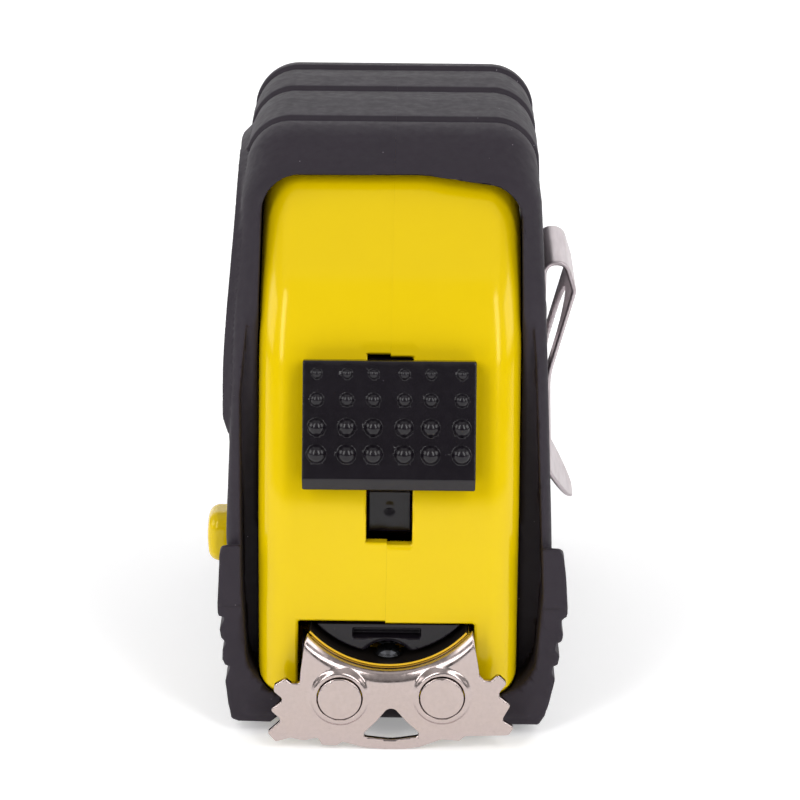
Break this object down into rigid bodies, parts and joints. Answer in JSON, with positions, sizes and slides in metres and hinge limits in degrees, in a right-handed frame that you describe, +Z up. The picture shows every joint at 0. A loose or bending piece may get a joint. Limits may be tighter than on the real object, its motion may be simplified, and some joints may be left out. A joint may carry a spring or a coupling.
{
  "type": "tape measure",
  "caption": "Pocket tape measure: two-part case with rubber grips, spring-driven reel, curved steel blade, magnetic end hook, thumb lock, side brake button and belt clip.",
  "frame": {"origin": "on the flat underside, on the mid-plane of the case's width, below the middle of the case's length", "axes": "+Z up; the blade leaves the mouth towards -Y; +X is the belt clip side and -X the side button side"},
  "size_m": [0.0542, 0.0888, 0.0835],
  "materials": {
    "yellow_abs": "glossy moulded yellow plastic with fine orange peel",
    "black_rubber": "soft matt overmoulded rubber, fine grain",
    "black_plastic": "satin moulded black plastic",
    "reel_plastic": "plain moulded dark plastic",
    "blade_paint": "yellow lacquered steel strip with black graduations",
    "nickel_plate": "bright nickel plate on pressed steel",
    "satin_steel": "satin plated spring steel",
    "spring_steel": "blued spring steel",
    "screw_steel": "dark zinc plated steel",
    "label_film": "plain dark printed label, no lettering"
  },
  "bodies": {
    "case": {"left_shell": "yellow_abs", "right_shell": "yellow_abs", "left_grip": "black_rubber", "right_grip": "black_rubber", "mouth_bumper": "black_rubber", "centre_post": "spring_steel", "belt_clip": "satin_steel", "clip_screw": "screw_steel", "case_screw_1": "screw_steel", "case_screw_2": "screw_steel", "case_screw_3": "screw_steel", "case_screw_4": "screw_steel", "side_label": "label_film", "button_spring": "spring_steel"},
    "blade": {"blade_strip": "blade_paint", "hook_rivet_front": "nickel_plate", "hook_rivet_rear": "nickel_plate"},
    "hook": {"hook_plate": "nickel_plate", "magnet_left": "nickel_plate", "magnet_right": "nickel_plate"},
    "reel": {"blade_coil": "blade_paint", "drum_hub": "reel_plastic", "drum_flange_left": "reel_plastic", "drum_flange_right": "reel_plastic", "power_spring": "spring_steel"},
    "lock": {"lock_slider": "black_plastic"},
    "brake": {"brake_shoe": "black_plastic"},
    "button": {"side_button": "yellow_abs", "button_brake_pad": "black_rubber"}
  },
  "joints": [
    {"name": "blade_pull", "type": "slide", "parent": "case", "child": "blade", "axis": [0, -1, 0], "range_m": [0, 0.06], "stiffness_N_per_m": 20},
    {"name": "hook_play", "type": "slide", "parent": "blade", "child": "hook", "axis": [0, 1, 0], "range_m": [0, 0.001]},
    {"name": "drum_spin", "type": "hinge", "parent": "case", "child": "reel", "pos_m": [0, 0, 0.044], "axis": [1, 0, 0], "range_deg": [-135, 0]},
    {"name": "lock_slide", "type": "slide", "parent": "case", "child": "lock", "axis": [0, -0.2262, -0.9741], "range_m": [0, 0.006]},
    {"name": "brake_slide", "type": "slide", "parent": "case", "child": "brake", "axis": [0, 0, -1], "range_m": [0, 0.0005]},
    {"name": "button_press", "type": "slide", "parent": "case", "child": "button", "axis": [1, 0, 0], "range_m": [0, 0.0015], "stiffness_N_per_m": 400, "deforming": ["button_spring"]}
  ],
  "couplings": [
    {"joint": "drum_spin", "follows": "blade_pull", "rad_per_m": -38.462},
    {"joint": "brake_slide", "follows": "lock_slide", "ratio": 0.08333}
  ]
}
